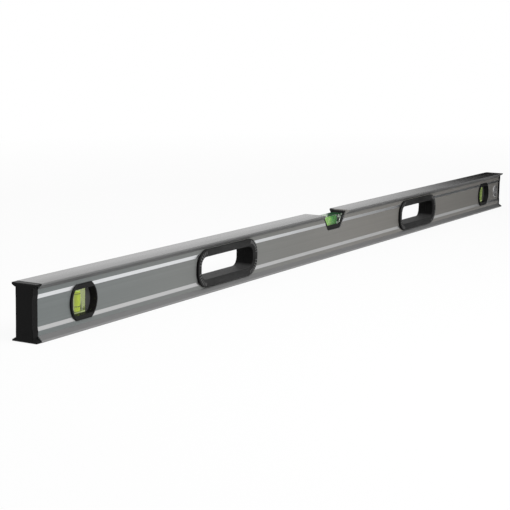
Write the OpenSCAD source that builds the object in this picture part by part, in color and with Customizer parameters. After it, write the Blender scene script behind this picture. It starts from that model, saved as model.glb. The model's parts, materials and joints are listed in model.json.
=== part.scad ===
// Box beam spirit level, 1200 mm: a hollow aluminium extrusion with two hand holes,
// a plumb vial near each end, a level vial in the top edge and a hang hole.
// X runs along the beam, the front face looks along -Y, and the lower working face is z = 0.

/* [Beam] */
// Overall length over both end caps
level_length = 1200; // [1000:50:1800]
// Height between the two working faces
beam_h = 54; // [53:1:60]
// Width of the working faces
beam_w = 28; // [27:0.5:32]
// Width over the side walls, between the flanges
web_w = 19.6; // [19.2:0.2:22]
// Thickness of a flange at its tip
flange_tip_t = 1.6; // [1:0.1:1.8]
// Broken edge along the working faces
edge_break = 0.3; // [0.2:0.1:0.6]
// Height of the plain band between a working face and the bevel
band_h = 10.4; // [9:0.2:10.6]
// Height of each bright bevel
bevel_h = 3.6; // [3:0.2:5]
// Depth of the side panel below the bands
panel_recess = 0.6; // [0.2:0.1:0.8]
// Thickness of the side walls
wall_t = 1.8; // [1.4:0.1:1.9]
// Thickness of the plates behind the working faces
plate_t = 2.8; // [2:0.2:3.6]
// Thickness of the two inner ribs
rib_t = 1.6; // [1.2:0.2:2]
// Corner relief inside the channels
channel_relief = 0.8; // [0.4:0.2:1]

/* [End caps] */
// Thickness of the cap outside the beam
cap_t = 8.1; // [6:0.1:9]
// Edge chamfer of the cap's end face
cap_chamfer = 0.9; // [0.5:0.1:1.4]
// Thickness of the cap's flange at its tip
cap_tip_t = 1.4; // [1:0.1:1.6]
// Thickness of the cap's flange beside its web
cap_flange_t = 3.9; // [3.4:0.1:4.6]
// How far the cap stays behind the working faces
cap_shy = 0.15; // [0.1:0.05:0.4]
// Length of the short spigot in the middle channel
spigot_l = 4; // [3:0.5:4.5]
// Length of the two long tongues in the outer channels
tongue_l = 24; // [15:1:40]
// Wall of the spigot and tongues
spigot_wall = 1.6; // [1.2:0.1:2]
// Clearance of the cap inside the beam
cap_fit = 0.1; // [0.05:0.05:0.2]

/* [Hand holes] */
// Distance from the middle of the beam to each grip
grip_from_middle = 261.5; // [180:0.5:320]
// Overall length of the grip rim
grip_l = 126; // [110:1:140]
// Overall height of the grip rim
grip_h = 41; // [40:0.5:42]
// Outer corner radius of the grip rim
grip_r = 18; // [15:0.5:19]
// Width of the rim around the opening
grip_rim_w = 8.4; // [7.6:0.1:9.2]
// How far the rim stands proud of the bands
grip_proud = 2.5; // [2:0.1:3]
// Radius on the rim's edges
grip_edge_r = 1.1; // [0.6:0.1:1.3]
// Width of the lead-in slope at the opening
grip_slope_w = 3; // [2:0.1:3.2]
// Depth of that slope
grip_slope_d = 1.6; // [1:0.1:1.9]
// Wall of the sleeve through the beam
grip_sleeve_t = 2.8; // [2:0.1:3.2]
// Gap between a grip and its cut-out
grip_fit = 0.25; // [0.15:0.05:0.4]

/* [Plumb vials] */
// Distance from each end of the level to its plumb vial
plumb_from_end = 76; // [70:1:120]
// Diameter of the bezel
bezel_d = 41.5; // [41:0.5:43]
// How far the bezel stands proud of the bands
bezel_proud = 1.5; // [1:0.1:2]
// Edge chamfer of the bezel
bezel_chamfer = 0.7; // [0.4:0.1:0.9]
// Diameter of the window at the front
window_d = 37.7; // [36:0.1:37.9]
// Height of the window across its flats at the front
window_flat = 24.6; // [23:0.2:25.6]
// Diameter of the window at its floor
window_floor_d = 34.2; // [32:0.1:35]
// Height of the window across its flats at its floor
window_floor_flat = 24; // [19:0.2:24.4]
// Overlap of the bezel beyond its cut-out at the round sides
bezel_lap = 1.1; // [0.9:0.1:1.3]
// Overlap at the flats
flat_lap = 1.5; // [1.2:0.1:1.6]
// Gap between a bezel sleeve and its cut-out
bezel_fit = 0.2; // [0.1:0.05:0.3]

/* [Vials] */
// Width of a plumb vial's clear block along the beam
block_w = 18.4; // [17:0.2:20]
// Depth of that block through the beam
block_depth = 9.4; // [9.2:0.2:10.6]
// Clear block past each end of a plumb vial's chamber
block_end = 3.5; // [3.3:0.1:4]
// Wall of the bezel past each end of the block
holder_end_t = 1.15; // [0.9:0.05:1.4]
// Bore at the ends of a plumb vial's chamber
bore_d = 7.8; // [6.6:0.2:7.8]
// How much a barrel bore widens at its middle
barrel = 0.4; // [0.2:0.1:0.5]
// Length of a plumb vial's chamber
chamber_l = 21.4; // [19:0.2:23]
// Diameter of the plug
plug_d = 5; // [4:0.5:6]
// Length of the plug
plug_l = 3; // [2:0.2:3.2]
// Distance between the two marking rings
ring_gap = 12; // [11.8:0.2:13]
// Width of a marking ring
ring_w = 0.8; // [0.5:0.1:1.2]
// Depth of a marking ring
ring_depth = 0.4; // [0.2:0.1:0.6]
// Air above the liquid in a plumb vial
air_h = 2.4; // [1.5:0.1:3.2]
// Length of the bubble in the level vial
bubble_l = 11; // [8:0.5:11.5]
// Diameter of the bubble
bubble_d = 6; // [4:0.5:7]
// Clearance between parts of a vial
vial_gap = 0.05; // [0.03:0.01:0.1]
// Clearance of a block in its holder
block_fit = 0.15; // [0.05:0.05:0.25]

/* [Level vial housing] */
// Width of the notch at the upper working face
notch_top_w = 68; // [64:1:72]
// Width of the notch at its floor
notch_floor_w = 34; // [32:1:37]
// Depth of the notch below the upper working face
notch_depth = 21; // [20:0.5:22]
// Corner radius of the notch floor
notch_r = 6; // [3:0.5:7]
// Wall of the housing beside the vial
housing_wall = 3; // [2.6:0.1:3.4]
// Floor of the housing under the vial
housing_floor = 2.8; // [2.5:0.1:3.2]
// Height of the lip in front of the vial's foot
housing_lip = 3.2; // [2:0.1:4]
// How far the lips lap over the block's ends
housing_lap = 0.8; // [0.4:0.1:1.2]
// How far the housing stays below the upper working face
housing_shy = 1; // [0.5:0.1:1.5]
// How far the housing stays inside the side walls
housing_inset = 1.2; // [0.8:0.1:1.6]
// Depth of the level vial's block through the beam
level_block_w = 15; // [14.4:0.1:15.2]
// Height of the level vial's block
level_block_h = 14.4; // [14:0.1:15]
// Bore at the ends of the level vial's chamber
level_bore_d = 12.2; // [10:0.2:12.6]
// Length of the level vial's chamber
level_chamber_l = 24; // [20:0.5:25]
// Gap between the housing and the notch
housing_fit = 0.15; // [0.1:0.05:0.3]

/* [Hang hole] */
// Distance from the right end of the level to the hole
hang_from_end = 22; // [22:0.5:30]
// Bore of the eyelet
hang_bore = 13; // [11:0.5:14]
// Wall of the eyelet's tube
hang_wall = 1.3; // [1:0.1:1.4]
// Outer diameter of the eyelet's flange
hang_flange_d = 19; // [18.5:0.5:21]
// Thickness of the flange
hang_flange_t = 1.2; // [0.8:0.1:1.6]
// Edge chamfer of the flange
hang_chamfer = 0.5; // [0.2:0.1:0.6]
// Gap between the tube and what it passes through
hang_fit = 0.15; // [0.1:0.05:0.25]

/* [Hidden] */
$fn = 64;

// Reach of a cutter past the surface that it leaves through
past = 1;
// Half of the seam between a front and a back moulding
seam = 0.1;
// Segments in a small rounded corner of an outline
corner_steps = 6;
// Segments along the barrel bore
barrel_steps = 8;

beam_l = level_length - 2 * cap_t;
mid_z = beam_h / 2;
overhang = (beam_w - web_w) / 2;
panel_w = web_w - 2 * panel_recess;
rib_z = band_h + bevel_h / 2;
grip_open_l = grip_l - 2 * grip_rim_w;
grip_open_h = grip_h - 2 * grip_rim_w;
grip_open_r = grip_r - grip_rim_w;
grip_cut = grip_sleeve_t + grip_fit;
grip_face = web_w / 2 + grip_proud;
bezel_face = web_w / 2 + bezel_proud;
bezel_cut_d = bezel_d - 2 * bezel_lap;
block_h = chamber_l + 2 * block_end;
bezel_cut_flat = block_h + 2 * (block_fit + holder_end_t + bezel_fit);
bezel_flat = bezel_cut_flat + 2 * flat_lap;
plumb_vial = [bore_d, chamber_l];
level_vial = [level_bore_d, level_chamber_l];
plumb_x = level_length / 2 - plumb_from_end;
notch_floor = beam_h - notch_depth;
notch_slope = (notch_top_w - notch_floor_w) / 2 / notch_depth;
block_floor = notch_floor + housing_floor;
level_axis_z = block_floor + level_block_h / 2;
hang_x = level_length / 2 - hang_from_end;
hang_tube_d = hang_bore + 2 * hang_wall;
hang_face = panel_w / 2 + hang_flange_t;

// Outline helpers

function unit(v) = v / norm(v);

// Points of an arc of radius r that rounds corner b between its neighbours a and c
function round_corner(a, b, c, r) =
  let (
    u = unit(a - b),
    v = unit(c - b),
    half = acos(u * v) / 2,
    centre = b + unit(u + v) * r / sin(half),
    start = b + u * r / tan(half) - centre,
    end = b + v * r / tan(half) - centre,
    from = atan2(start.y, start.x),
    turn = (atan2(end.y, end.x) - from + 540) % 360 - 180
  )
  [
    for (i = [0:corner_steps])
      let (at = from + turn * i / corner_steps) centre + r * [cos(at), sin(at)]
  ];

function reversed(points) = [for (i = [len(points) - 1:-1:0]) points[i]];

// A right-hand side, lower half first, made into a closed outline that is the same on all four quarters
function four_quarters(low) =
  let (right = concat(low, [for (p = reversed(low)) [p.x, beam_h - p.y]]))
  concat(right, [for (p = reversed(right)) [-p.x, p.y]]);

// Rectangle centred on the beam's width, with relieved corners
function channel(half_w, low, high) =
  let (c = channel_relief)
  [
    [half_w - c, low], [half_w, low + c], [half_w, high - c], [half_w - c, high],
    [c - half_w, high], [-half_w, high - c], [-half_w, low + c], [c - half_w, low]
  ];

// Lower right quarter of an outline, drawn in by shy at the working face, with the flange's
// thickness at its tip and beside the web
function quarter_outline(shy, tip_t, foot_t) = [
  [beam_w / 2 - edge_break, shy],
  [beam_w / 2, shy + edge_break],
  [beam_w / 2, tip_t],
  [web_w / 2, foot_t],
  [web_w / 2, band_h],
  [panel_w / 2, band_h + bevel_h]
];

module along_beam(length) rotate([90, 0, 90]) linear_extrude(length, center = true) children();

module across_beam(depth) rotate([90, 0, 0]) linear_extrude(depth, center = true) children();

// From the middle plane to a depth on the front side
module to_front(from, to) rotate([90, 0, 0]) translate([0, 0, from]) linear_extrude(to - from) children();

module turned_to_back() rotate([0, 0, 180]) children();

module beam_outline() polygon(four_quarters(quarter_outline(0, flange_tip_t, flange_tip_t + overhang)));

module cap_outline() polygon(four_quarters(quarter_outline(cap_shy, cap_tip_t, cap_flange_t)));

module rounded_rectangle(length, height, r) {
  square([length - 2 * r, height], center = true);
  square([length, height - 2 * r], center = true);
  for (x = [-1, 1], z = [-1, 1])
    translate([x * (length / 2 - r), z * (height / 2 - r)]) circle(r);
}

module flatted_circle(d, flat) {
  intersection() {
    circle(d = d);
    square([d + past, flat], center = true);
  }
}

// Beam

module channels() {
  outer_half = web_w / 2 - wall_t;
  inner_half = panel_w / 2 - wall_t;
  polygon(channel(outer_half, plate_t, rib_z - rib_t / 2));
  polygon(channel(inner_half, rib_z + rib_t / 2, beam_h - rib_z - rib_t / 2));
  polygon(channel(outer_half, beam_h - rib_z + rib_t / 2, beam_h - plate_t));
}

module grip_cut_out(depth) {
  across_beam(depth)
    rounded_rectangle(grip_open_l + 2 * grip_cut, grip_open_h + 2 * grip_cut, grip_open_r + grip_cut);
}

module bezel_cut_out(depth) across_beam(depth) flatted_circle(bezel_cut_d, bezel_cut_flat);

// Half width of the notch at a height, drawn in by inset square to its sloping side
function notch_half(z, inset) =
  notch_floor_w / 2 + (z - notch_floor) * notch_slope - inset * sqrt(1 + notch_slope * notch_slope);

// Notch outline between two heights, with sides drawn in by inset and lower corners of radius r
module notch_outline(inset, low, high, r) {
  top_left = [-notch_half(high, inset), high];
  low_left = [-notch_half(low, inset), low];
  low_right = [-low_left.x, low];
  top_right = [-top_left.x, high];
  polygon(concat(
    [top_right, top_left],
    round_corner(top_left, low_left, low_right, r),
    round_corner(low_left, low_right, top_right, r)
  ));
}

module beam() {
  depth = beam_w + 2 * past;
  color("#8d8f8f")
  difference() {
    along_beam(beam_l) beam_outline();
    along_beam(beam_l + 2 * past) channels();
    for (side = [-1, 1]) {
      translate([side * grip_from_middle, 0, mid_z]) grip_cut_out(depth);
      translate([side * plumb_x, 0, mid_z]) bezel_cut_out(depth);
    }
    across_beam(depth) notch_outline(0, notch_floor, beam_h + past, notch_r);
    translate([hang_x, 0, mid_z]) across_beam(depth) circle(d = hang_tube_d + 2 * hang_fit);
  }
}

// End caps

// Tube that fills a channel of the beam, less the clearance
module hollow_spigot(half_w, low, high, length) {
  inner = cap_fit + spigot_wall;
  translate([(beam_l - length) / 2, 0, 0])
    along_beam(length) difference() {
      polygon(channel(half_w - cap_fit, low + cap_fit, high - cap_fit));
      polygon(channel(half_w - inner, low + inner, high - inner));
    }
}

// Slab with its two outer corners cut off, used from two directions to chamfer the end face
module chamfered_slab(half_w) {
  inner = beam_l / 2;
  outer = level_length / 2;
  polygon([
    [inner, -half_w], [outer - cap_chamfer, -half_w], [outer, cap_chamfer - half_w],
    [outer, half_w - cap_chamfer], [outer - cap_chamfer, half_w], [inner, half_w]
  ]);
}

module end_cap() {
  plate_h = beam_h - 2 * cap_shy;
  color("#1b1c1d") {
    intersection() {
      translate([(level_length - cap_t) / 2, 0, 0]) along_beam(cap_t) cap_outline();
      translate([0, 0, mid_z]) across_beam(beam_w + past) chamfered_slab(plate_h / 2);
      union() {
        linear_extrude(cap_flange_t) chamfered_slab(beam_w / 2);
        translate([0, 0, cap_flange_t])
          linear_extrude(beam_h - 2 * cap_flange_t) chamfered_slab(web_w / 2);
        translate([0, 0, beam_h - cap_flange_t])
          linear_extrude(cap_flange_t) chamfered_slab(beam_w / 2);
      }
    }
    outer_half = web_w / 2 - wall_t;
    hollow_spigot(outer_half, plate_t, rib_z - rib_t / 2, tongue_l);
    hollow_spigot(panel_w / 2 - wall_t, rib_z + rib_t / 2, beam_h - rib_z - rib_t / 2, spigot_l);
    hollow_spigot(outer_half, beam_h - rib_z + rib_t / 2, beam_h - plate_t, tongue_l);
  }
}

// Hand-hole grips

// Cross section of a grip half: x outwards from the opening, y from the middle plane to the front
function grip_section() =
  let (
    face = grip_face,
    foot = panel_w / 2,
    r = grip_edge_r
  )
  concat(
    [[0, seam], [grip_sleeve_t, seam], [grip_sleeve_t, foot], [grip_rim_w, foot]],
    round_corner([grip_rim_w, foot], [grip_rim_w, face], [grip_slope_w, face], r),
    round_corner([grip_rim_w, face], [grip_slope_w, face], [0, face - grip_slope_d], r),
    round_corner([grip_slope_w, face], [0, face - grip_slope_d], [0, seam], r)
  );

// A section carried round a rounded rectangle: four straights and four quarter turns
module swept_frame(length, height, r) {
  straight = [length - 2 * r, height - 2 * r];
  for (side = [0, 1], end = [0, 180]) {
    across = side == 0 ? length / 2 : height / 2;
    rotate([0, 0, side * 90 + end]) translate([across, 0, 0])
      rotate([90, 0, 0]) linear_extrude(straight[1 - side], center = true) children();
  }
  for (x = [0, 1], y = [0, 1])
    mirror([x, 0, 0]) mirror([0, y, 0])
      translate([straight.x / 2, straight.y / 2, 0])
        rotate_extrude(angle = 90) translate([r, 0]) children();
}

module grip_half() {
  color("#2a2b2c")
  translate([0, 0, mid_z])
  difference() {
    rotate([90, 0, 0])
      swept_frame(grip_open_l, grip_open_h, grip_open_r) polygon(grip_section());
    difference() {
      translate([0, 0, -mid_z]) along_beam(grip_l + 2 * past) beam_outline();
      grip_cut_out(beam_w + 2 * past);
    }
  }
}

module grip_at(side) translate([side * grip_from_middle, 0, 0]) children();

// Plumb vials

// Disc with a chamfered front edge and two chamfered flats
module bezel_disc() {
  intersection() {
    rotate([90, 0, 0]) rotate_extrude()
      polygon([
        [0, panel_w / 2], [bezel_d / 2, panel_w / 2], [bezel_d / 2, bezel_face - bezel_chamfer],
        [bezel_d / 2 - bezel_chamfer, bezel_face], [0, bezel_face]
      ]);
    along_beam(bezel_d + past)
      polygon([
        [-panel_w / 2, -bezel_flat / 2], [bezel_chamfer - bezel_face, -bezel_flat / 2],
        [-bezel_face, bezel_chamfer - bezel_flat / 2], [-bezel_face, bezel_flat / 2 - bezel_chamfer],
        [bezel_chamfer - bezel_face, bezel_flat / 2], [-panel_w / 2, bezel_flat / 2]
      ]);
  }
}

// Window that narrows from the front to its floor, which is level with the face of the clear block
module bezel_window() {
  floor_y = block_depth / 2;
  depth = bezel_face - floor_y;
  reach = 1 + past / depth;
  front_d = window_floor_d + (window_d - window_floor_d) * reach;
  front_flat = window_floor_flat + (window_flat - window_floor_flat) * reach;
  intersection() {
    rotate([90, 0, 0]) translate([0, 0, floor_y])
      cylinder(d1 = window_floor_d, d2 = front_d, h = depth + past);
    along_beam(bezel_d)
      polygon([
        [-floor_y, -window_floor_flat / 2], [-bezel_face - past, -front_flat / 2],
        [-bezel_face - past, front_flat / 2], [-floor_y, window_floor_flat / 2]
      ]);
  }
}

module bezel_half() {
  pocket = [block_w, block_depth, block_h] + 2 * block_fit * [1, 1, 1];
  color("#1f2021")
  translate([0, 0, mid_z])
  difference() {
    union() {
      bezel_disc();
      to_front(seam, panel_w / 2)
        flatted_circle(bezel_cut_d - 2 * bezel_fit, bezel_cut_flat - 2 * bezel_fit);
    }
    bezel_window();
    cube(pocket, center = true);
    difference() {
      translate([0, 0, -mid_z]) along_beam(bezel_d + 2 * past) beam_outline();
      bezel_cut_out(beam_w + 2 * past);
    }
  }
}

module bezel_at(side) translate([side * plumb_x, 0, 0]) children();

// Vials, drawn along Z about their middle, each given as its bore and the length of its chamber

function bore_of(vial) = vial[0];

function end_of(vial) = vial[1] / 2;

function barrel_radius(vial, z) = bore_of(vial) / 2 + barrel / 2 * (1 - pow(z / end_of(vial), 2));

// Barrel-shaped chamber between two heights, drawn in by gap
module chamber(vial, low, high, gap) {
  rotate_extrude()
    polygon(concat(
      [[0, low]],
      [
        for (i = [0:barrel_steps])
          let (z = low + (high - low) * i / barrel_steps) [barrel_radius(vial, z) - gap, z]
      ],
      [[0, high]]
    ));
}

module whole_chamber(vial) chamber(vial, -end_of(vial), end_of(vial), 0);

module ring_pair(vial, gap) {
  outer = barrel_radius(vial, ring_gap / 2) - vial_gap;
  for (side = [-1, 1])
    translate([0, 0, side * ring_gap / 2])
      rotate_extrude()
        translate([outer - ring_depth - gap, -ring_w / 2 - gap])
          square([ring_depth + gap + past * sign(gap), ring_w + 2 * gap]);
}

module plug_hole(vial, length) translate([0, 0, end_of(vial) - vial_gap]) cylinder(d = plug_d, h = length);

module vial_plug(vial) {
  color("#2b4a2a")
  translate([0, 0, end_of(vial)]) cylinder(d = plug_d - 2 * vial_gap, h = plug_l);
}

module vial_rings(vial) color("#14181a") ring_pair(vial, 0);

module plumb_block() {
  color("#dfe8df", 0.35)
  difference() {
    cube([block_w, block_depth, block_h], center = true);
    whole_chamber(plumb_vial);
    plug_hole(plumb_vial, block_h);
  }
}

module plumb_liquid() {
  color("#b4d230", 0.8)
  difference() {
    chamber(plumb_vial, vial_gap - end_of(plumb_vial), end_of(plumb_vial) - air_h, vial_gap);
    ring_pair(plumb_vial, vial_gap);
  }
}

module at_plumb(side) translate([side * plumb_x, 0, mid_z]) children();

// Level vial and its housing

module centre_housing() {
  side_wall = housing_fit + housing_wall;
  pocket_w = level_block_w + 2 * block_fit;
  housing_w = web_w - 2 * housing_inset;
  lip_z = block_floor + housing_lip;
  top = beam_h - housing_shy;
  color("#1d1e1f")
  difference() {
    across_beam(housing_w)
      notch_outline(housing_fit, notch_floor + housing_fit, top, notch_r - housing_fit);
    across_beam(pocket_w) notch_outline(side_wall, block_floor, beam_h, block_fit);
    across_beam(beam_w) notch_outline(side_wall + housing_lap, lip_z, beam_h, housing_lap);
  }
}

module centre_vial_block() {
  inset = housing_fit + housing_wall + block_fit;
  color("#dfe8df", 0.35)
  difference() {
    across_beam(level_block_w) notch_outline(inset, block_floor, block_floor + level_block_h, block_fit);
    along_level_axis() {
      whole_chamber(level_vial);
      plug_hole(level_vial, notch_top_w / 2);
    }
  }
}

module along_level_axis() translate([0, 0, level_axis_z]) rotate([0, 90, 0]) children();

// Space of the bubble: a capsule at the top of the chamber
module bubble_space() {
  straight = bubble_l - bubble_d;
  translate([0, 0, barrel_radius(level_vial, 0) - bubble_d / 2 + vial_gap]) rotate([0, 90, 0]) {
    cylinder(d = bubble_d, h = straight, center = true);
    for (side = [-1, 1]) translate([0, 0, side * straight / 2]) sphere(d = bubble_d);
  }
}

module centre_vial_liquid() {
  end = end_of(level_vial) - vial_gap;
  color("#4fbf3a", 0.8)
  difference() {
    along_level_axis() chamber(level_vial, -end, end, vial_gap);
    along_level_axis() ring_pair(level_vial, vial_gap);
    translate([0, 0, level_axis_z]) bubble_space();
  }
}

// Hang hole

module hang_flange(inner_d) {
  r = hang_flange_d / 2;
  seat = panel_w / 2;
  rotate_extrude()
    polygon([
      [inner_d / 2, seat], [r, seat], [r, hang_face - hang_chamfer],
      [r - hang_chamfer, hang_face], [inner_d / 2, hang_face]
    ]);
}

module at_hang_hole() translate([hang_x, 0, mid_z]) rotate([90, 0, 0]) children();

module hang_bush() {
  color("#c4c6c6")
  at_hang_hole() difference() {
    union() {
      hang_flange(hang_bore);
      translate([0, 0, -hang_face]) cylinder(d = hang_tube_d, h = 2 * hang_face - hang_chamfer);
    }
    translate([0, 0, -hang_face - past]) cylinder(d = hang_bore, h = 2 * (hang_face + past));
  }
}

module hang_ring() {
  color("#c4c6c6")
  at_hang_hole() mirror([0, 0, 1]) hang_flange(hang_tube_d + 2 * hang_fit);
}

beam();
turned_to_back() end_cap();  // end_cap_left
end_cap();  // end_cap_right
grip_at(-1) grip_half();  // grip_left_front
grip_at(-1) turned_to_back() grip_half();  // grip_left_back
grip_at(1) grip_half();  // grip_right_front
grip_at(1) turned_to_back() grip_half();  // grip_right_back
bezel_at(-1) bezel_half();  // vial_left_front_bezel
bezel_at(-1) turned_to_back() bezel_half();  // vial_left_back_bezel
at_plumb(-1) plumb_block();  // vial_left_block
at_plumb(-1) plumb_liquid();  // vial_left_liquid
at_plumb(-1) vial_rings(plumb_vial);  // vial_left_rings
at_plumb(-1) vial_plug(plumb_vial);  // vial_left_plug
bezel_at(1) bezel_half();  // vial_right_front_bezel
bezel_at(1) turned_to_back() bezel_half();  // vial_right_back_bezel
at_plumb(1) plumb_block();  // vial_right_block
at_plumb(1) plumb_liquid();  // vial_right_liquid
at_plumb(1) vial_rings(plumb_vial);  // vial_right_rings
at_plumb(1) vial_plug(plumb_vial);  // vial_right_plug
centre_housing();
centre_vial_block();
centre_vial_liquid();
along_level_axis() vial_rings(level_vial);  // centre_vial_rings
along_level_axis() vial_plug(level_vial);  // centre_vial_plug
hang_bush();
hang_ring();
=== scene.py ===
# Looks of a box beam level: finishes, bubbles, grip ribs, a pale studio and the camera.
import json
import math

import bmesh
import bpy
from mathutils import Matrix, Vector


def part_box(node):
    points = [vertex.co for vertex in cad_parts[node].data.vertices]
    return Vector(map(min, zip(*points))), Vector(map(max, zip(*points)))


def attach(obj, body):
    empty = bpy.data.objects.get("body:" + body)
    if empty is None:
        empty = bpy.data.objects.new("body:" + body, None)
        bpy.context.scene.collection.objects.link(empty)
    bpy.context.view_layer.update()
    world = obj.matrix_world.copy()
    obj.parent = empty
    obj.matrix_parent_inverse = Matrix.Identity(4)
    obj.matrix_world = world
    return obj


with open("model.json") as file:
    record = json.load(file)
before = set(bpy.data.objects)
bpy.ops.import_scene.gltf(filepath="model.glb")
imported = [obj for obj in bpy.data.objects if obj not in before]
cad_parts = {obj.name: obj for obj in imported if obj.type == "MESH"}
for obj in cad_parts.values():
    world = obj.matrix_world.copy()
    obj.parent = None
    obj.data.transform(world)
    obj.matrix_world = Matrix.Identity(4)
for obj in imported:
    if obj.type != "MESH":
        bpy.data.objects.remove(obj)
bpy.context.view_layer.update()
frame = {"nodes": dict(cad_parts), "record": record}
nodes = frame["nodes"]

# Lengths are in metres unless their name says otherwise
MM = 0.001

# Sizes and places read from the frame
beam_low, beam_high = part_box("beam")
BEAM_H = beam_high.z - beam_low.z
BEAM_HALF_W = beam_high.y
MID_Z = (beam_low.z + beam_high.z) / 2
block_low, block_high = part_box("vial_right_block")
PLUMB_X = (block_low.x + block_high.x) / 2
PLUMB_FACE = block_high.y
plug_low, plug_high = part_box("centre_vial_plug")
LEVEL_AXIS_Z = (plug_low.z + plug_high.z) / 2
grip_low, grip_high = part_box("grip_right_back")
GRIP_X = (grip_low.x + grip_high.x) / 2
GRIP_FACE = grip_high.y

# Sizes of the beam's section and notch, as in the part's source
BAND_H = 10.4 * MM
BEVEL_H = 3.6 * MM
WEB_HALF = 9.8 * MM
PANEL_RECESS = 0.6 * MM
PANEL_HALF = WEB_HALF - PANEL_RECESS
NOTCH_TOP_HALF = 34 * MM

# Sizes of the vials and grips, as in the part's source
PLUMB_BORE = 7.8 * MM
PLUMB_CHAMBER = 21.4 * MM
LEVEL_BORE = 12.2 * MM
LEVEL_CHAMBER = 24 * MM
GRIP_CORNER_R = 18 * MM
GRIP_CORNER_X = (grip_high.x - grip_low.x) / 2 - GRIP_CORNER_R
GRIP_CORNER_Z = (grip_high.z - grip_low.z) / 2 - GRIP_CORNER_R

# Camera, from a fit to the beam's edges in the 510 by 510 photograph
PHOTO_SIDE_PX = 510
FOCAL_PX = 1418.5
SENSOR_MM = 36
CAMERA_PLACE = Vector((-1.5758, -0.7847, 0.2859))
CAMERA_YAW = math.radians(60.602)
CAMERA_PITCH = math.radians(9.310)
CAMERA_ROLL = math.radians(1.074)
CLIP_NEAR = 0.05
CLIP_FAR = 100


def add_camera():
    look = Vector((
        math.sin(CAMERA_YAW) * math.cos(CAMERA_PITCH),
        math.cos(CAMERA_YAW) * math.cos(CAMERA_PITCH),
        -math.sin(CAMERA_PITCH),
    ))
    level_right = Vector((math.cos(CAMERA_YAW), -math.sin(CAMERA_YAW), 0))
    level_up = level_right.cross(look)
    right = math.cos(CAMERA_ROLL) * level_right + math.sin(CAMERA_ROLL) * level_up
    up = math.cos(CAMERA_ROLL) * level_up - math.sin(CAMERA_ROLL) * level_right
    data = bpy.data.cameras.new("photo_camera")
    data.sensor_width = SENSOR_MM
    data.lens = FOCAL_PX / PHOTO_SIDE_PX * SENSOR_MM
    data.clip_start = CLIP_NEAR
    data.clip_end = CLIP_FAR
    camera = bpy.data.objects.new("photo_camera", data)
    bpy.context.scene.collection.objects.link(camera)
    turn = Matrix((right, up, -look)).transposed().to_4x4()
    camera.matrix_world = Matrix.Translation(CAMERA_PLACE) @ turn
    bpy.context.scene.camera = camera


# Shader helpers

class Wire:
    """An output socket that can be used in Python expressions."""

    def __init__(self, tree, socket):
        self.tree = tree
        self.socket = socket

    def math(self, operation, *others, first=None):
        values = [self, *others] if first is None else [first, self]
        node = self.tree.nodes.new("ShaderNodeMath")
        node.operation = operation
        for place, value in enumerate(values):
            plug(self.tree, node.inputs[place], value)
        return Wire(self.tree, node.outputs[0])

    def __add__(self, other):
        return self.math("ADD", other)

    __radd__ = __add__

    def __sub__(self, other):
        return self.math("SUBTRACT", other)

    def __rsub__(self, other):
        return self.math("SUBTRACT", first=other)

    def __mul__(self, other):
        return self.math("MULTIPLY", other)

    __rmul__ = __mul__

    def __neg__(self):
        return self.math("MULTIPLY", -1)

    def __abs__(self):
        return self.math("ABSOLUTE")

    def __or__(self, other):
        """Either of two masks."""
        return self.math("MAXIMUM", other)

    def root(self):
        return self.math("SQRT")


def plug(tree, socket, value):
    if isinstance(value, Wire):
        tree.links.new(value.socket, socket)
    else:
        socket.default_value = value


class Finish:
    """The node tree of a material, or of a world that is given as owner."""

    def __init__(self, name, owner=None):
        self.owner = owner or bpy.data.materials.new(name)
        self.owner.use_nodes = True
        self.tree = self.owner.node_tree
        self.tree.nodes.clear()

    def node(self, kind, settings=None, sockets=None):
        node = self.tree.nodes.new(kind)
        for name, value in (settings or {}).items():
            setattr(node, name, value)
        for name, value in (sockets or {}).items():
            plug(self.tree, node.inputs[name], value)
        return node

    def add(self, kind, settings=None, sockets=None, output=0):
        return Wire(self.tree, self.node(kind, settings, sockets).outputs[output])

    def place(self):
        return self.add("ShaderNodeTexCoord", output="Object")

    def facing(self):
        return self.add("ShaderNodeTexCoord", output="Normal")

    def axes(self, vector):
        """The x, y and z of a place or a facing."""
        parts = self.node("ShaderNodeSeparateXYZ", sockets={0: vector})
        return [Wire(self.tree, socket) for socket in parts.outputs]

    def noise(self, scale, stretch=(1, 1, 1), detail=3, roughness=0.5):
        where = self.add("ShaderNodeMapping", sockets={"Vector": self.place(), "Scale": stretch})
        return self.add(
            "ShaderNodeTexNoise",
            sockets={"Vector": where, "Scale": scale, "Detail": detail, "Roughness": roughness},
            output="Fac",
        )

    def step(self, value, start, end):
        """0 before start, 1 after end, straight between them."""
        return self.add(
            "ShaderNodeMapRange",
            sockets={"Value": value, "From Min": start, "From Max": end, "To Min": 0.0, "To Max": 1.0},
        )

    def past(self, value, start, soft):
        """0 up to start, 1 from a width of soft beyond it."""
        return self.step(value, start, start + soft)

    def band(self, value, low, high, soft):
        """1 between low and high, 0 outside them, with edges of width soft."""
        return self.step(value, low - soft, low) * (1 - self.past(value, high, soft))

    def mix(self, mask, low, high):
        """From the colour low where the mask is 0 to the colour high where it is 1."""
        return self.add(
            "ShaderNodeMix",
            settings={"data_type": "RGBA"},
            sockets={"Factor": mask, 6: low, 7: high},
            output=2,
        )

    def bump(self, height, strength, distance):
        return self.add(
            "ShaderNodeBump",
            sockets={"Height": height, "Strength": strength, "Distance": distance},
        )

    def principled(self, **sockets):
        named = {}
        for name, value in sockets.items():
            named[name.replace("_", " ").title().replace("Ior", "IOR")] = value
        return self.add("ShaderNodeBsdfPrincipled", sockets=named)

    def close(self, shader):
        self.node("ShaderNodeOutputMaterial", sockets={"Surface": shader})
        return self.owner

    def surface(self, **sockets):
        return self.close(self.principled(**sockets))


def grey(level, warmth=0.0):
    return (level * (1 + warmth), level, level * (1 - warmth), 1)


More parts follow.
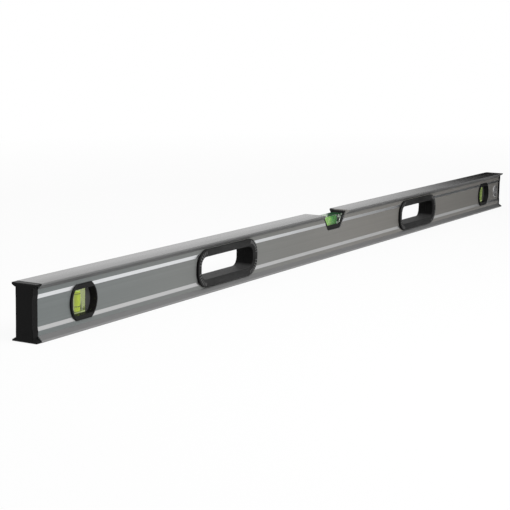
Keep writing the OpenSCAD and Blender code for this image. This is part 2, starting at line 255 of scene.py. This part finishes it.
# Faces are chosen by their normal's part along an axis, from where the choice starts to where it is full
LEANING = (0.5, 0.6)
MAINLY = (0.6, 0.7)
NEARLY = (0.9, 0.95)
WHOLLY = (0.98, 0.99)
# Widths over which a mask goes from none to full
SHARP = 0.05 * MM
CRISP = 0.1 * MM
SOFT = MM


# The beam's metal: edges of its bright parts, and where its greys and its painted light and shade change

BEVEL_SOFT = 0.15 * MM
MILLED_FACE = (0.97, 0.99)
MILLED_SKIN = 0.3 * MM
MILLED_SOFT = 0.2 * MM
CUT_MARGIN = 6 * MM
SLOPED_FACE = (0.5, 0.9)
SLOPED_SOFT = 0.05
TIP_DEPTH = 0.6 * MM
TIP_SOFT = 0.3 * MM
# Where the painted shade on the back flange's ends at the notch starts
NOTCH_SHADE_Y = 8 * MM
# Where the sides' painted light goes from cool and dark to warm and light
SIDE_PAINTED_LIGHT_X = (-600 * MM, 100 * MM)
# Where the milled faces' painted shade at the front gives way to their lighter back
MILLED_PAINTED_SHADE_Y = (-10 * MM, 5 * MM)


def side_color(f, x, streak, cloud):
    """Satin grey of the side walls with painted light: cooler and darker at the left end, warmer and
    lighter from just past the middle on.
    """
    mottle = streak * 0.7 + cloud * 0.3
    cool = f.mix(mottle, (0.140, 0.154, 0.153, 1), (0.208, 0.229, 0.228, 1))
    warm = f.mix(mottle, (0.194, 0.187, 0.174, 1), (0.288, 0.278, 0.258, 1))
    return f.mix(f.step(x, *SIDE_PAINTED_LIGHT_X), cool, warm)


# Bare machined bevels whose lightness is partly a painted reflection, with the upper bevel painted
# lighter than the lower
def bevel_color(f, upper, streak):
    low = f.mix(streak, grey(0.46), grey(0.58))
    high = f.mix(streak, grey(0.68, -0.015), grey(0.80, -0.015))
    return f.mix(upper, low, high)


def beam_finish():
    """Satin extrusion: bare bevels, milled working faces and bare cut edges, with painted light and shade
    on the sides, bevels, chamfers, tips, milled faces and the notch's back ends.
    """
    f = Finish("beam_metal")
    x, y, z = f.axes(f.place())
    nx, ny, nz = f.axes(f.facing())
    height = abs(z - MID_Z)
    out = abs(y)
    top = BEAM_H / 2
    outer = top - BAND_H
    streak = f.noise(scale=60, stretch=(0.02, 1, 8), detail=5, roughness=0.6)
    cloud = f.noise(scale=6, stretch=(0.4, 1, 1), detail=2)

    upper = f.step(z - MID_Z, -SOFT, SOFT)
    milled_painted_light = f.step(y, *MILLED_PAINTED_SHADE_Y)
    upright = f.step(abs(ny), *MAINLY)
    on_side = f.past(out, PANEL_HALF - CRISP, CRISP)
    sloped = f.band(abs(nz), *SLOPED_FACE, SLOPED_SOFT) * upright
    tip = f.past(out, BEAM_HALF_W - TIP_DEPTH, TIP_SOFT) * upright
    bevel = f.band(height, outer - BEVEL_H, outer, BEVEL_SOFT) * upright * on_side
    milled = f.step(abs(nz), *MILLED_FACE) * f.past(height, top - MILLED_SKIN, MILLED_SOFT)
    cut = (1 - upright) * (1 - f.past(height, top - CUT_MARGIN, SOFT))
    at_notch = 1 - f.past(abs(x), NOTCH_TOP_HALF, SOFT)
    # Painted shade: the back flange's end faces at the notch are painted near black and not metallic
    notch_end_painted_shade = at_notch * f.step(abs(nx), *LEANING) * f.past(y, NOTCH_SHADE_Y, SOFT)
    bright = bevel | milled | cut

    # The milled faces are painted darker toward the front as shade, and are less metallic there
    milled_front_painted_shade = f.mix(streak, grey(0.04), grey(0.08))
    milled_back = f.mix(streak, grey(0.14), grey(0.22))
    color = side_color(f, x, streak, cloud)
    # Painted shade on the upper flange's chamfers and painted light on the lower flange's
    color = f.mix(sloped, color, f.mix(upper, grey(0.17), grey(0.13)))
    # Painted light on the lower flange's tip and painted shade on the upper one's
    color = f.mix(tip, color, f.mix(upper, grey(0.25), grey(0.18)))
    # Bevels, with their painted reflection
    color = f.mix(bevel, color, bevel_color(f, upper, streak))
    color = f.mix(milled, color, f.mix(milled_painted_light, milled_front_painted_shade, milled_back))
    color = f.mix(cut, color, f.mix(cloud, grey(0.55), grey(0.70)))
    color = f.mix(notch_end_painted_shade, color, grey(0.006))
    return f.surface(
        base_color=color,
        metallic=(0.25 + bright * 0.70 - milled * (1 - milled_painted_light) * 0.8) * (1 - notch_end_painted_shade),
        roughness=0.44 + streak * 0.08 - bright * 0.16 - milled * 0.12,
        specular_ior_level=0.3,
        normal=f.bump(streak, strength=0.15, distance=0.05 * MM),
    )


# Moulded plastic and rubber

GRIP_WALL = (0.5, 0.8)
GRIP_END_WALL = (0.35, 0.8)
GRIP_FLOOR = (0.6, 0.95)
GRIP_BLOTCH = (0.35, 0.65)
# Half the height of a grip's hole, with its rounded rim
GRIP_HOLE_HALF_H = 12.5 * MM
# Half the width between the matt floors of a plumb vial's two bezels
BEZEL_FLOOR_Y = 5.2 * MM


def plastic_finish(name, dark, pale, roughness, grain, dents, shine):
    """Plastic that is clouded from dark to pale, with a moulded grain whose dents are that deep."""
    f = Finish(name)
    fine = f.noise(scale=grain, detail=2)
    cloud = f.noise(scale=25, detail=3)
    return f.surface(
        base_color=f.mix(cloud, grey(dark), grey(pale)),
        roughness=roughness + fine * 0.12,
        specular_ior_level=shine,
        normal=f.bump(fine, strength=0.25, distance=dents),
    )


def grip_finish():
    """Dark rubber, with painted shade that makes walls facing the beam's ends nearly black and painted
    light that makes the hole's floor paler.
    """
    f = Finish("grip_rubber")
    up = f.axes(f.place())[2] - MID_Z
    nx, ny, nz = f.axes(f.facing())
    wall = 1 - f.step(abs(ny), *GRIP_WALL)
    # Walls facing the beam's ends get painted shade, nearly black
    end_wall = wall * f.step(abs(nx), *GRIP_END_WALL)
    in_hole = 1 - f.past(abs(up), GRIP_HOLE_HALF_H, SOFT)
    # The hole's lower floor, facing up, gets painted light that makes it paler
    floor_painted_light = wall * in_hole * f.step(abs(nz), *GRIP_FLOOR) * f.past(-up, 0.0, SOFT)
    fine = f.noise(scale=1600, detail=2)
    cloud = f.noise(scale=60, stretch=(0.3, 1, 1), detail=4, roughness=0.6)
    color = f.mix(f.step(cloud, *GRIP_BLOTCH), grey(0.014), grey(0.030))
    color = f.mix(end_wall, color, grey(0.004))
    color = f.mix(floor_painted_light, color, f.mix(cloud, grey(0.035), grey(0.075)))
    return f.surface(
        base_color=color,
        roughness=0.5 + fine * 0.12,
        specular_ior_level=0.08,
        normal=f.bump(fine, strength=0.25, distance=0.08 * MM),
    )


def bezel_finish():
    """Black moulding. The matt floor beside a plumb vial has painted light from the vial, which makes it
    paler than the polished rest.
    """
    f = Finish("bezel_plastic")
    x, y, _ = f.axes(f.place())
    _, ny, _ = f.axes(f.facing())
    inner = 1 - f.past(abs(y), BEZEL_FLOOR_Y, CRISP)
    # Painted light: the matt floor beside a plumb vial is painted paler
    floor = f.step(abs(ny), *NEARLY) * inner * f.past(abs(x), PLUMB_X / 2, SOFT)
    fine = f.noise(scale=1800, detail=2)
    cloud = f.noise(scale=25, detail=3)
    black = f.mix(cloud, grey(0.006), grey(0.010))
    return f.surface(
        base_color=f.mix(floor, black, f.mix(cloud, grey(0.055), grey(0.075))),
        roughness=0.38 + fine * 0.12 + floor * 0.2,
        specular_ior_level=0.1,
        normal=f.bump(fine, strength=0.25, distance=0.05 * MM),
    )


# The vials' clear blocks, dyed spirit, marking rings and air

# Wetted skins round the bores and past their ends
PLUMB_ROOM = 0.4 * MM
LEVEL_ROOM = 0.3 * MM
END_ROOM = 0.1 * MM
# Where the painted dark green reflection on the level vial's top and the painted light and shade of its
# spirit start and end, and the share of that painted dark green
TOP_SOFT = 0.5 * MM
DARK_TOP_X = (-6 * MM, 2 * MM)
DARK_TOP_SLANT = 2
LIGHT_TO_DEEP_X = (-10 * MM, 3 * MM)
LIGHT_SLANT = 0.5
PAINTED_DARK_SHARE = 0.95


def plumb_shell(f, along, y, z, ny):
    """A plumb vial's block without its chamber, and the part that lies past the chamber's ends."""
    from_axis = abs(along - PLUMB_X)
    past_bore = f.past(from_axis, PLUMB_BORE / 2 + PLUMB_ROOM, CRISP)
    on_face = f.step(abs(ny), *WHOLLY) * f.past(abs(y), PLUMB_FACE - CRISP, SHARP)
    past_end = f.past(abs(z - MID_Z), PLUMB_CHAMBER / 2 + END_ROOM, CRISP)
    return past_bore | on_face | past_end, past_end


def level_shell(f, along, y, up):
    """The level vial's block without its chamber."""
    from_axis = (y * y + up * up).root()
    past_bore = f.past(from_axis, LEVEL_BORE / 2 + LEVEL_ROOM, CRISP)
    return past_bore | f.past(along, LEVEL_CHAMBER / 2 + END_ROOM, CRISP)


def acrylic_finish():
    """Clear blocks with frosted ends, a painted dark green reflection on the level vial's top, painted
    shade on its left end, and a painted glow in the plumb blocks past their chambers' ends.

    The dyed spirit wets each bore, so the bore's wall is see-through.
    """
    f = Finish("vial_acrylic")
    x, y, z = f.axes(f.place())
    nx, ny, nz = f.axes(f.facing())
    along = abs(x)
    up = z - LEVEL_AXIS_Z
    plumb = f.past(along, PLUMB_X / 2, SOFT)
    around_plumb, past_end = plumb_shell(f, along, y, z, ny)
    around_level = level_shell(f, along, y, up)
    top = f.step(nz, *NEARLY) * f.past(up, LEVEL_BORE / 2, TOP_SOFT)
    # Painted dark green reflection on the level vial's top, slanting across it
    top_painted_reflection = top * f.step(x - y * DARK_TOP_SLANT, *DARK_TOP_X)
    # Painted shade on the level vial's left end
    left_end_painted_shade = f.step(-nx, *LEANING) * f.past(-x, LEVEL_CHAMBER / 2, SOFT)
    painted_dark_mask = (top_painted_reflection | left_end_painted_shade) * (1 - plumb)
    frosted = f.step(abs(nx), *LEANING)
    haze = f.noise(scale=300, detail=2)
    neutral = f.mix(haze, (0.29, 0.33, 0.28, 1), (0.35, 0.39, 0.34, 1))
    warm = f.mix(haze, (0.27, 0.32, 0.13, 1), (0.32, 0.37, 0.17, 1))
    glass = f.principled(
        base_color=f.mix(plumb, neutral, warm),
        roughness=0.02 + haze * 0.02 + frosted * 0.15,
        alpha=around_level + (around_plumb - around_level) * plumb,
        ior=1.49,
        transmission_weight=1.0,
        # Painted glow in the plumb blocks past their chambers' ends, standing in for light through the
        # block
        emission_color=f.mix(plumb * past_end, grey(0.0), (0.17, 0.19, 0.11, 1)),
        emission_strength=1.0,
    )
    painted_dark_shader = f.principled(
        base_color=f.mix(haze, (0.02, 0.06, 0.03, 1), (0.03, 0.09, 0.04, 1)),
        roughness=0.6,
        specular_ior_level=0.0,
    )
    return f.close(f.add("ShaderNodeMixShader", sockets={0: painted_dark_mask * PAINTED_DARK_SHARE, 1: glass, 2: painted_dark_shader}))


def liquid_finish(name, deep, light, shade_of, glow, clear):
    """Dyed spirit with a little painted glow, which stands in for light passing through it.

    Its index is near 1, because the block round it already bends the light.
    shade_of gives its painted light and shade: 0 where the spirit is painted deep and 1 where it is
    painted light.
    """
    f = Finish(name)
    swirl = f.noise(scale=120, detail=1)
    color = f.mix(shade_of(f) * 0.8 + swirl * 0.2, deep, light)
    return f.surface(
        base_color=color,
        roughness=0.12,
        ior=1.05,
        transmission_weight=clear,
        emission_color=color,
        emission_strength=glow,
    )


def plumb_shade(f):
    """Painted light and shade: the left plumb vial is painted light and the right one deep."""
    return 1 - f.step(f.axes(f.place())[0], -PLUMB_X / 2, PLUMB_X / 2)


def level_shade(f):
    """Painted light: the level vial is painted light at its left end and grows deep to its right, a
    little sooner higher up.
    """
    x, _, z = f.axes(f.place())
    return 1 - f.step(x + (z - LEVEL_AXIS_Z) * LIGHT_SLANT, *LIGHT_TO_DEEP_X)


def ring_finish():
    """Dark line on the bore, softened by a painted glow that stands in for light from the dyed spirit."""
    f = Finish("ring_line")
    fine = f.noise(scale=900, detail=2)
    return f.surface(
        base_color=f.mix(fine, (0.10, 0.14, 0.01, 1), (0.14, 0.18, 0.02, 1)),
        roughness=0.4,
        emission_color=(0.30, 0.40, 0.03, 1),
        emission_strength=0.5,
    )


def bubble_finish():
    """Air, which shows as a pale film in the dyed spirit; its paleness and glow are a painted highlight.
    """
    f = Finish("air_bubble")
    haze = f.noise(scale=500, detail=2)
    return f.surface(
        base_color=f.mix(haze, (0.70, 0.80, 0.50, 1), (0.86, 0.92, 0.70, 1)),
        roughness=0.08 + haze * 0.05,
        alpha=0.75,
        emission_color=(0.80, 0.90, 0.55, 1),
        emission_strength=0.35,
    )


# The hang hole's eyelet and ring

def eyelet_finish():
    """Bright metal with a fine grain."""
    f = Finish("eyelet_metal")
    fine = f.noise(scale=900, detail=2)
    return f.surface(
        base_color=f.mix(fine, grey(0.5), grey(0.68)),
        metallic=0.8,
        roughness=0.28 + fine * 0.1,
        normal=f.bump(fine, strength=0.1, distance=0.03 * MM),
    )


# Finishes for the record's material slots, and for the added pieces

FINISHES = {
    "beam_aluminium": beam_finish(),
    "cap_plastic": plastic_finish(
        "cap_plastic", dark=0.003, pale=0.006, roughness=0.35, grain=1800, dents=0.05 * MM, shine=0.08,
    ),
    "grip_rubber": grip_finish(),
    "bezel_plastic": bezel_finish(),
    "vial_acrylic": acrylic_finish(),
    "plumb_liquid": liquid_finish(
        "plumb_liquid", deep=(0.52, 0.80, 0.22, 1), light=(0.78, 0.88, 0.02, 1),
        shade_of=plumb_shade, glow=0.5, clear=0.0,
    ),
    "level_liquid": liquid_finish(
        "level_liquid", deep=(0.03, 0.30, 0.08, 1), light=(0.72, 0.98, 0.42, 1),
        shade_of=level_shade, glow=0.35, clear=0.75,
    ),
    "ring_black": ring_finish(),
    "vial_plug": plastic_finish(
        "vial_plug", dark=0.02, pale=0.05, roughness=0.3, grain=1500, dents=0.03 * MM, shine=0.5,
    ),
    "eyelet_metal": eyelet_finish(),
}
BUBBLE = bubble_finish()
# The grip ribs are painted paler than the grips as a highlight
RIBS_PAINTED_HIGHLIGHT = plastic_finish(
    "ribs_painted_highlight", dark=0.10, pale=0.18, roughness=0.5, grain=1600, dents=0.05 * MM, shine=0.08,
)


def dress_nodes():
    for row in frame["record"]["subparts"]:
        piece = nodes[row["node"]]
        piece.data.materials.clear()
        piece.data.materials.append(FINISHES[row["material_slot"]])


# Modelling helpers

SMOOTH_ANGLE = math.radians(35)
SQUARE_ON = 0.9


def start_piece(name):
    """Name the primitive that was just added and open it in edit mode with nothing selected."""
    piece = bpy.context.active_object
    piece.name = name
    bpy.ops.object.mode_set(mode="EDIT")
    bpy.ops.mesh.select_all(action="DESELECT")
    return piece


def pick_faces(piece, wanted):
    bpy.ops.mesh.select_mode(type="FACE")
    mesh = bmesh.from_edit_mesh(piece.data)
    for face in mesh.faces:
        face.select_set(bool(wanted(face)))
    bmesh.update_edit_mesh(piece.data)


def end_piece(piece, finish):
    """Close edit mode, put the piece's place into its mesh and give it its finish and body."""
    if bpy.context.mode != "OBJECT":
        bpy.ops.object.mode_set(mode="OBJECT")
    bpy.ops.object.select_all(action="DESELECT")
    piece.select_set(True)
    bpy.ops.object.transform_apply(location=True, rotation=True, scale=True)
    bpy.ops.object.shade_smooth_by_angle(angle=SMOOTH_ANGLE)
    piece.data.materials.clear()
    piece.data.materials.append(finish)
    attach(piece, "root")


# Bubbles

AIR_H = 2.4 * MM
AIR_CLEAR = 0.1 * MM
MENISCUS_H = 0.9 * MM
BUBBLE_L = 10.6 * MM
BUBBLE_D = 5.6 * MM
BUBBLE_Z = 46.3 * MM
EQUATOR_MARGIN = 0.01 * MM


def add_air_space(name, x):
    """Air over the liquid of a plumb vial, with a meniscus that curves up to the bore."""
    chamber_top = MID_Z + PLUMB_CHAMBER / 2
    low = chamber_top - AIR_H + AIR_CLEAR
    high = chamber_top - AIR_CLEAR
    bpy.ops.object.select_all(action="DESELECT")
    bpy.ops.mesh.primitive_cylinder_add(
        vertices=48,
        radius=PLUMB_BORE / 2 - AIR_CLEAR,
        depth=high - low,
        location=(x, 0, (low + high) / 2),
    )
    piece = start_piece(name)
    pick_faces(piece, lambda face: face.normal.z < -SQUARE_ON)
    bpy.ops.mesh.bevel(offset=MENISCUS_H, segments=4, affect="EDGES")
    end_piece(piece, BUBBLE)


def add_level_bubble(name):
    """Capsule at the top of the level vial's chamber: a sphere laid along X, its halves drawn apart."""
    drawn = (BUBBLE_L - BUBBLE_D) / 2
    bpy.ops.object.select_all(action="DESELECT")
    bpy.ops.mesh.primitive_uv_sphere_add(
        segments=32,
        ring_count=16,
        radius=BUBBLE_D / 2,
        location=(0, 0, BUBBLE_Z),
        rotation=(0, math.pi / 2, 0),
    )
    piece = start_piece(name)
    bpy.ops.mesh.select_mode(type="VERT")
    mesh = bmesh.from_edit_mesh(piece.data)
    for vertex in mesh.verts:
        vertex.select_set(vertex.co.z > EQUATOR_MARGIN)
    mesh.select_flush(True)
    bmesh.update_edit_mesh(piece.data)
    bpy.ops.transform.translate(value=(drawn, 0, 0))
    bpy.ops.mesh.select_all(action="INVERT")
    bpy.ops.transform.translate(value=(-drawn, 0, 0))
    end_piece(piece, BUBBLE)


# Ribs in the corners of the grips

RIB_START = 12.9 * MM
RIB_END = 16.5 * MM
RIB_W = 1.0 * MM
RIB_H = 0.5 * MM
RIB_SUNK = 0.1 * MM
RIB_ROUND = 0.25 * MM
FIRST_RIB_DEG = 9
RIB_PITCH_DEG = 12
CORNER_DEG = 90
RIB_ANGLES = [math.radians(degrees) for degrees in range(FIRST_RIB_DEG, CORNER_DEG, RIB_PITCH_DEG)]


def make_rib():
    """One radial rib that starts from the corner's centre along X and stands up along Z.

    Its size is applied before its upper edges are bevelled, so that the bevel is even.
    """
    bpy.ops.object.select_all(action="DESELECT")
    bpy.ops.mesh.primitive_cube_add(
        size=1,
        location=((RIB_START + RIB_END) / 2, 0, RIB_H / 2 - RIB_SUNK),
        scale=(RIB_END - RIB_START, RIB_W, RIB_H),
    )
    rib = start_piece("grip_rib")
    pick_faces(rib, lambda face: face.normal.z > SQUARE_ON)
    bpy.ops.object.mode_set(mode="OBJECT")
    bpy.ops.object.transform_apply(location=True, rotation=True, scale=True)
    bpy.ops.object.mode_set(mode="EDIT")
    bpy.ops.mesh.bevel(offset=RIB_ROUND, segments=2, affect="EDGES")
    bpy.ops.object.mode_set(mode="OBJECT")
    return rib


def rib_place(x, side, corner_x, corner_z, angle):
    """From the rib's own axes to its place: out of the front face for side 1, of the back for -1."""
    along = Vector((corner_x * math.cos(angle), 0, corner_z * math.sin(angle)))
    out = Vector((0, -1, 0))
    across = out.cross(along)
    centre = Vector((corner_x * GRIP_CORNER_X, -GRIP_FACE, corner_z * GRIP_CORNER_Z))
    turn = Matrix((along, across, out)).transposed().to_4x4()
    around = Matrix.Rotation(0 if side > 0 else math.pi, 4, "Z")
    return Matrix.Translation(Vector((x, 0, MID_Z))) @ around @ Matrix.Translation(centre) @ turn


def add_grip_ribs(rib, name, x, side):
    """Copies of the rib in the four corners of one grip, joined to one piece."""
    copies = []
    for corner_x in (-1, 1):
        for corner_z in (-1, 1):
            for angle in RIB_ANGLES:
                copy = bpy.data.objects.new(name, rib.data.copy())
                copy.matrix_world = rib_place(x, side, corner_x, corner_z, angle)
                bpy.context.scene.collection.objects.link(copy)
                copies.append(copy)
    bpy.ops.object.select_all(action="DESELECT")
    for copy in copies:
        copy.select_set(True)
    bpy.context.view_layer.objects.active = copies[0]
    bpy.ops.object.join()
    piece = bpy.context.active_object
    piece.name = name
    end_piece(piece, RIBS_PAINTED_HIGHLIGHT)


def add_all_grip_ribs():
    rib = make_rib()
    for end, x in (("left", -GRIP_X), ("right", GRIP_X)):
        for face, side in (("front", 1), ("back", -1)):
            add_grip_ribs(rib, f"grip_{end}_{face}_ribs", x, side)
    bpy.data.objects.remove(rib)


# Studio

FLOOR_SIDE = 60
SHADOW_NEAR = 0.7
SHADOW_FAR = 1.6
SHADOW_SHARE = 0.08
SHADOW_STRETCH = 0.5
SKY_LIGHT = 0.5
LAMP_PLACE = Vector((-0.45, -0.85, 0.95))
LAMP_TARGET = Vector((-0.15, 0, 0))
LAMP_SIZE = (0.8, 0.6)
LAMP_POWER = 9.5
# Turns of a card: lying on the floor, or upright and facing along the level
LYING = (0, 0, 0)
FACING_ALONG = (0, math.pi / 2, 0)
# Axes along which a card's cloth thickens
X_AXIS = 0
Z_AXIS = 2


def seen_directly(f):
    """1 for camera, mirror and glass rays, 0 for the rays that carry light."""
    path = f.node("ShaderNodeLightPath")
    kinds = ("Is Camera Ray", "Is Glossy Ray", "Is Transmission Ray")
    camera, glossy, through = [Wire(f.tree, path.outputs[kind]) for kind in kinds]
    return camera | glossy | through


def floor_finish():
    """White to the eye, with a pale shadow under the level that fades out to plain white."""
    f = Finish("studio_floor")
    x, y, _ = f.axes(f.place())
    away = (x * x * SHADOW_STRETCH + y * y).root()
    near = 1 - f.step(away, SHADOW_NEAR, SHADOW_FAR)
    cloth = f.add("ShaderNodeBsdfDiffuse", sockets={"Color": grey(0.95)})
    white = f.add("ShaderNodeEmission", sockets={"Color": grey(1.0), "Strength": 1.0})
    share = seen_directly(f) * (1 - near * SHADOW_SHARE)
    return f.close(f.add("ShaderNodeMixShader", sockets={0: share, 1: cloth, 2: white}))


def card_finish(name, axis, clear, full, veil=None):
    """Black cloth that thickens along an axis, from see-through at clear to dense at full.

    A veil is a share of the cloth and the place where it starts: that share thickens up to clear.
    """
    f = Finish(name)
    place = f.axes(f.place())[axis]
    weave = f.noise(scale=200, detail=2)
    cover = f.step(place, clear, full)
    if veil is not None:
        share, start = veil
        cover = cover * (1 - share) + f.step(place, start, clear) * share
    return f.surface(
        base_color=f.mix(weave, grey(0.008), grey(0.012)),
        roughness=0.9,
        specular_ior_level=0.0,
        alpha=cover,
    )


def add_floor():
    bpy.ops.mesh.primitive_plane_add(size=FLOOR_SIDE, location=(0, 0, 0))
    floor = bpy.context.active_object
    floor.name = "studio_floor"
    floor.data.materials.append(floor_finish())


def add_card(name, finish, turn, place, size, shades=False):
    """Dark card outside the picture. It shows only in reflections, or else only shades the level."""
    bpy.ops.object.select_all(action="DESELECT")
    bpy.ops.mesh.primitive_plane_add(size=1, location=place, rotation=turn)
    card = bpy.context.active_object
    card.name = name
    card.scale = (*size, 1)
    bpy.ops.object.transform_apply(location=True, rotation=True, scale=True)
    card.data.materials.append(finish)
    card.visible_camera = False
    card.visible_shadow = False
    card.visible_diffuse = shades
    card.visible_glossy = not shades


def add_cards():
    """Cards round the level's right end, where the photograph's studio is darker."""
    downward = card_finish("card_upright", Z_AXIS, clear=0.108, full=0.098, veil=(0.35, 0.145))
    rightward = card_finish("card_flat", X_AXIS, clear=-0.15, full=0.45)
    add_card("card_right_end", downward, FACING_ALONG, place=(0.68, 0.255, 0.08), size=(0.16, 0.69))
    add_card("card_floor_right", rightward, LYING, place=(0.55, -0.13, 0.002), size=(1.4, 0.2))
    add_card("card_right_front", rightward, FACING_ALONG, place=(0.67, -0.02, 0.14), size=(0.28, 0.14))
    add_card(
        "card_flag_right", rightward, FACING_ALONG,
        place=(0.70, -0.36, 0.30), size=(0.58, 0.70), shades=True,
    )


def add_world():
    """Sky that shows as plain white and lights the level more weakly."""
    world = bpy.data.worlds.new("studio")
    bpy.context.scene.world = world
    f = Finish("studio", world)
    strength = seen_directly(f) * (1 - SKY_LIGHT) + SKY_LIGHT
    sky = f.add("ShaderNodeBackground", sockets={"Color": grey(1.0), "Strength": strength})
    f.node("ShaderNodeOutputWorld", sockets={"Surface": sky})


def add_key_lamp():
    data = bpy.data.lights.new("key_lamp", "AREA")
    data.shape = "RECTANGLE"
    data.size, data.size_y = LAMP_SIZE
    data.energy = LAMP_POWER
    lamp = bpy.data.objects.new("key_lamp", data)
    lamp.location = LAMP_PLACE
    lamp.rotation_euler = (LAMP_TARGET - LAMP_PLACE).to_track_quat("-Z", "Y").to_euler()
    bpy.context.scene.collection.objects.link(lamp)


def add_studio():
    add_floor()
    add_world()
    add_cards()
    add_key_lamp()
    bpy.context.scene.view_settings.view_transform = "Standard"


add_camera()
dress_nodes()
add_air_space("vial_left_air", -PLUMB_X)
add_air_space("vial_right_air", PLUMB_X)
add_level_bubble("centre_vial_bubble")
add_all_grip_ribs()
add_studio()
